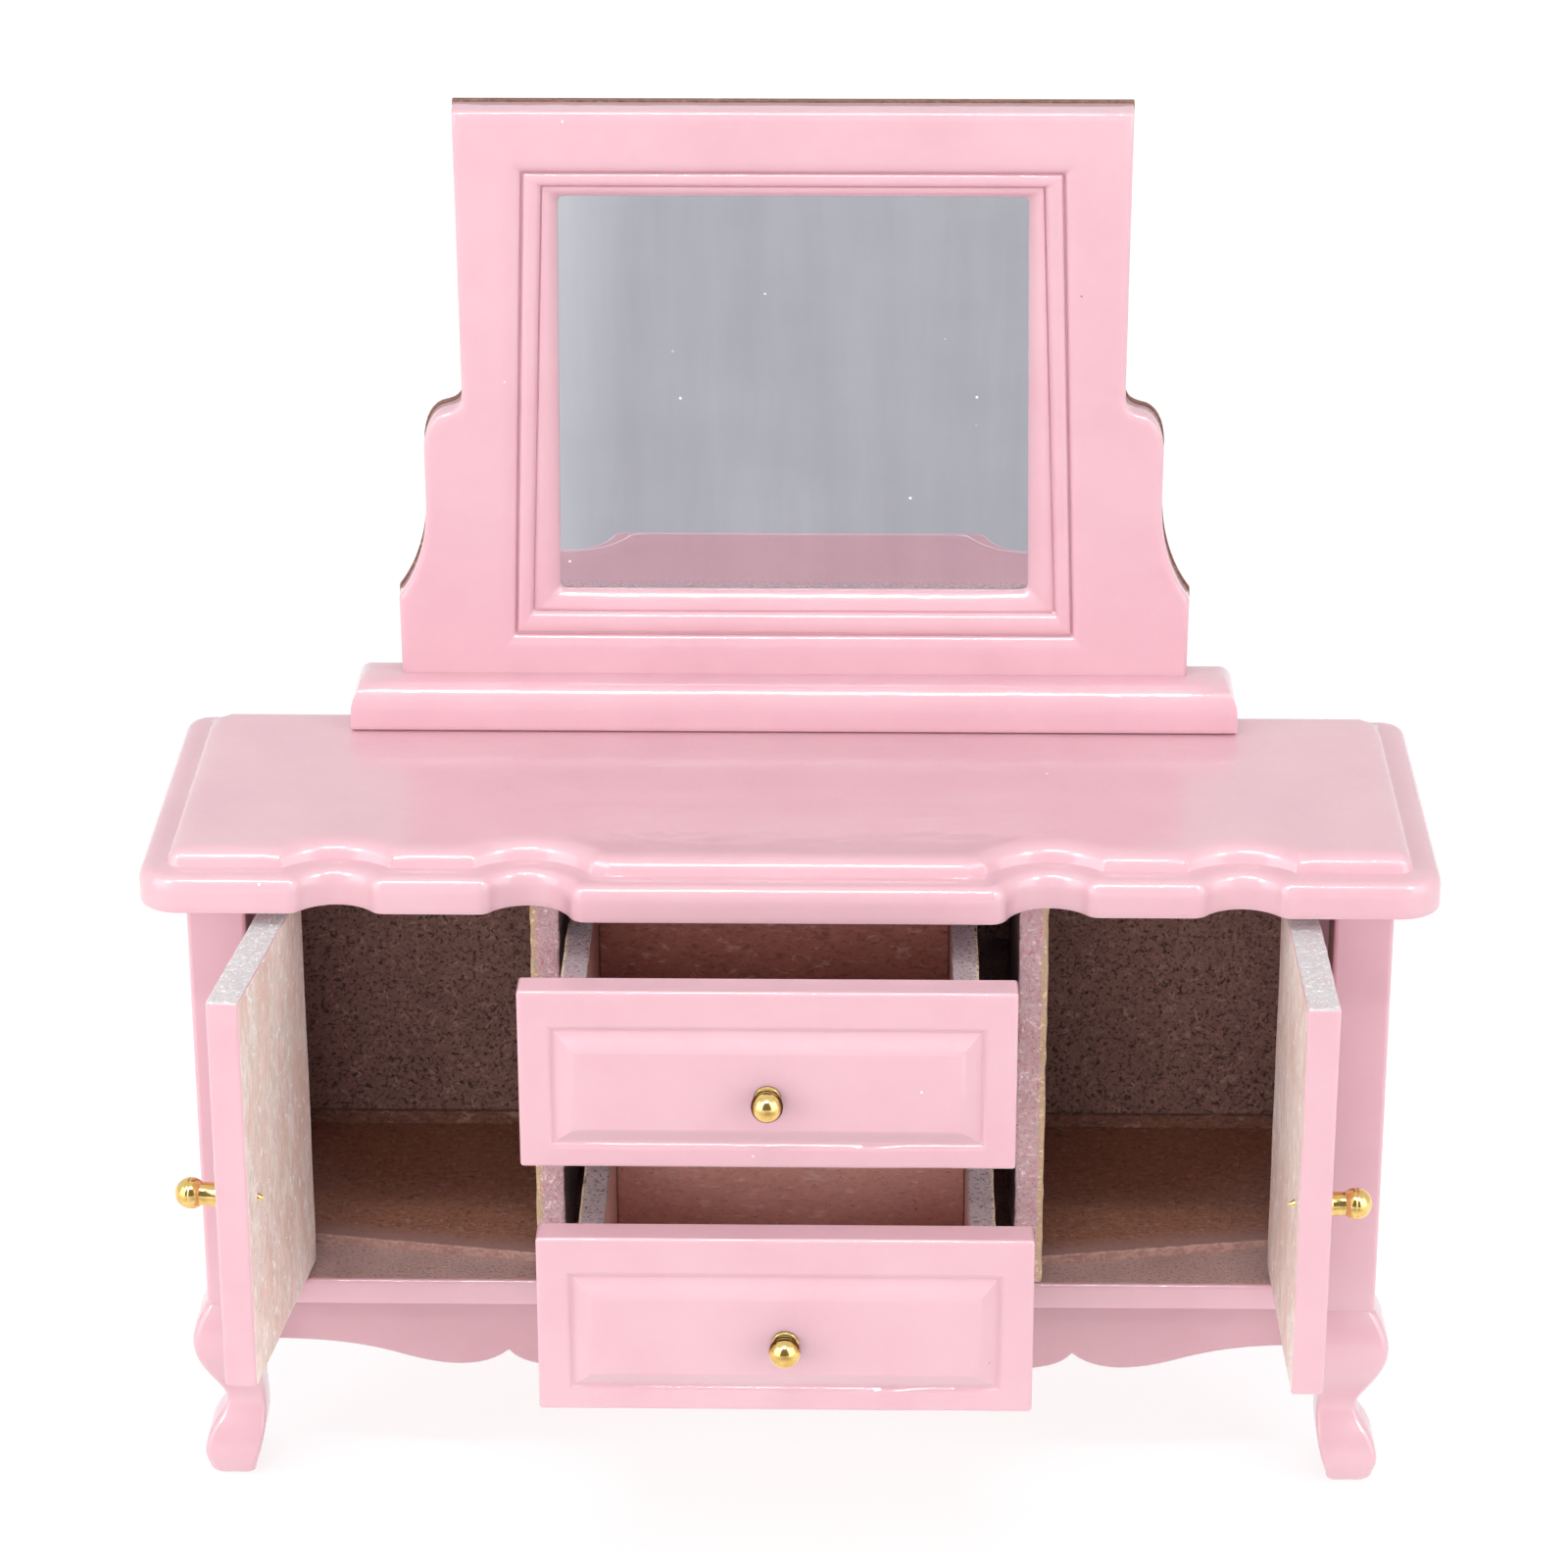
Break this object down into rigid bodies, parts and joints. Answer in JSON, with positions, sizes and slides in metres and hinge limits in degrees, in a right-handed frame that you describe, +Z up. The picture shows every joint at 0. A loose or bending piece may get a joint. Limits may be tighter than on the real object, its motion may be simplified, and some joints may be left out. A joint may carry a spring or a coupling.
{
  "type": "miniature dressing table",
  "caption": "Dolls' house dressing table on cabriole legs, with hinged cupboard doors, sliding drawers between them and a fixed, leaning mirror on a scalloped top.",
  "frame": {"origin": "on the surface the feet stand on, under the centre of the bounding box as the object is stored, with its doors open and drawers drawn out", "axes": "+Z up, -Y towards the doors and drawers, +X to the right of someone facing them"},
  "size_m": [0.12, 0.0637, 0.13],
  "materials": {
    "pink_lacquered_board": "glossy sprayed lacquer over fibreboard",
    "oversprayed_board": "rough sawn fibreboard dusted with overspray",
    "dark_fibreboard": "bare dark fibreboard, matt",
    "brown_bare_board": "bare brown fibreboard, matt",
    "red_brown_bare_board": "bare red-brown board, matt",
    "mirror_glass": "silvered glass",
    "gilt_brass": "polished gilt",
    "pin_steel": "bright drawn wire"
  },
  "bodies": {
    "case": {"tabletop": "pink_lacquered_board", "front_left_post": "pink_lacquered_board", "front_left_leg": "pink_lacquered_board", "front_right_post": "pink_lacquered_board", "front_right_leg": "pink_lacquered_board", "rear_left_post": "pink_lacquered_board", "rear_left_leg": "pink_lacquered_board", "rear_right_post": "pink_lacquered_board", "rear_right_leg": "pink_lacquered_board", "left_side_panel": "pink_lacquered_board", "left_divider": "oversprayed_board", "left_back_batten": "brown_bare_board", "left_floor_sheet": "brown_bare_board", "left_side_apron": "pink_lacquered_board", "right_side_panel": "pink_lacquered_board", "right_divider": "oversprayed_board", "right_back_batten": "brown_bare_board", "right_floor_sheet": "brown_bare_board", "right_side_apron": "pink_lacquered_board", "back_panel": "dark_fibreboard", "drawer_shelf": "oversprayed_board", "bottom_board": "pink_lacquered_board", "front_apron": "pink_lacquered_board", "mirror_plinth": "pink_lacquered_board", "mirror_frame": "pink_lacquered_board", "mirror_glass": "mirror_glass", "mirror_back_board": "brown_bare_board", "door_hinge_pins": "pin_steel"},
    "left_door": {"left_door": "pink_lacquered_board", "left_door_knob": "gilt_brass"},
    "right_door": {"right_door": "pink_lacquered_board", "right_door_knob": "gilt_brass"},
    "upper_drawer": {"upper_drawer_front": "pink_lacquered_board", "upper_drawer_left_side": "oversprayed_board", "upper_drawer_right_side": "oversprayed_board", "upper_drawer_back": "oversprayed_board", "upper_drawer_bottom": "red_brown_bare_board", "upper_drawer_knob": "gilt_brass"},
    "lower_drawer": {"lower_drawer_front": "pink_lacquered_board", "lower_drawer_left_side": "oversprayed_board", "lower_drawer_right_side": "oversprayed_board", "lower_drawer_back": "oversprayed_board", "lower_drawer_bottom": "red_brown_bare_board", "lower_drawer_knob": "gilt_brass"}
  },
  "joints": [
    {"name": "left_door_hinge", "type": "hinge", "parent": "case", "child": "left_door", "pos_m": [-0.0474, -0.0016, 0.0414], "axis": [0, 0, -1], "range_deg": [-97, 23]},
    {"name": "right_door_hinge", "type": "hinge", "parent": "case", "child": "right_door", "pos_m": [0.0474, -0.0016, 0.0414], "axis": [0, 0, 1], "range_deg": [-91, 29]},
    {"name": "upper_drawer_slide", "type": "slide", "parent": "case", "child": "upper_drawer", "axis": [0, -1, 0], "range_m": [-0.0156, 0.0084]},
    {"name": "lower_drawer_slide", "type": "slide", "parent": "case", "child": "lower_drawer", "axis": [0, -1, 0], "range_m": [-0.0216, 0.0024]}
  ]
}
